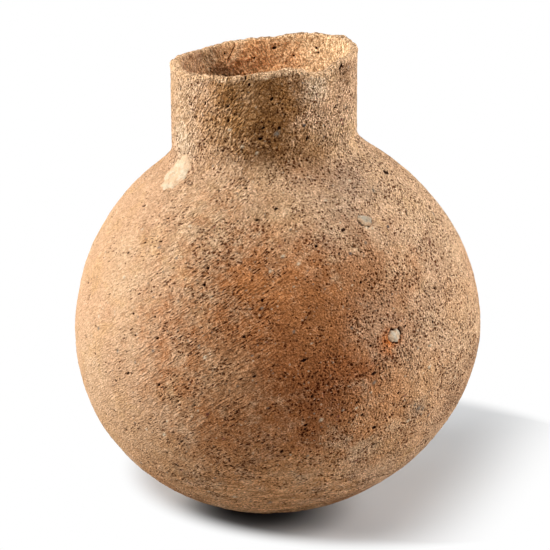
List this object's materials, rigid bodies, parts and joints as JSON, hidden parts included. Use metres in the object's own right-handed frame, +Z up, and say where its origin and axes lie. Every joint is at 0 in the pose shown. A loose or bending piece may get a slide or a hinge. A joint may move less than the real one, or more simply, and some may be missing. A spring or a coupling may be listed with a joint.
{
  "type": "terracotta jar",
  "caption": "Hand-built unglazed terracotta jar with a globular body, worn flat foot and short off-centre neck with a chipped rim, for storing or cooking.",
  "frame": {"origin": "on the floor under the middle of the belly", "axes": "+Z up through the jar, -Y towards the viewer of the picture, +X to the viewer's right"},
  "size_m": [0.2096, 0.21, 0.2416],
  "materials": {
    "fired_clay": "unglazed, coarse and gritty, wiped by hand",
    "lime": "chalky crust",
    "pale_stone": "rounded pebble",
    "grey_stone": "rounded pebble"
  },
  "bodies": {
    "root": {"base_bowl": "fired_clay", "lower_wall": "fired_clay", "belly_wall": "fired_clay", "upper_wall": "fired_clay", "shoulder_wall": "fired_clay", "neck_collar": "fired_clay", "rim_lip": "fired_clay", "lime_crust": "lime", "belly_pebble": "pale_stone", "shoulder_pebble": "grey_stone"}
  },
  "joints": []
}
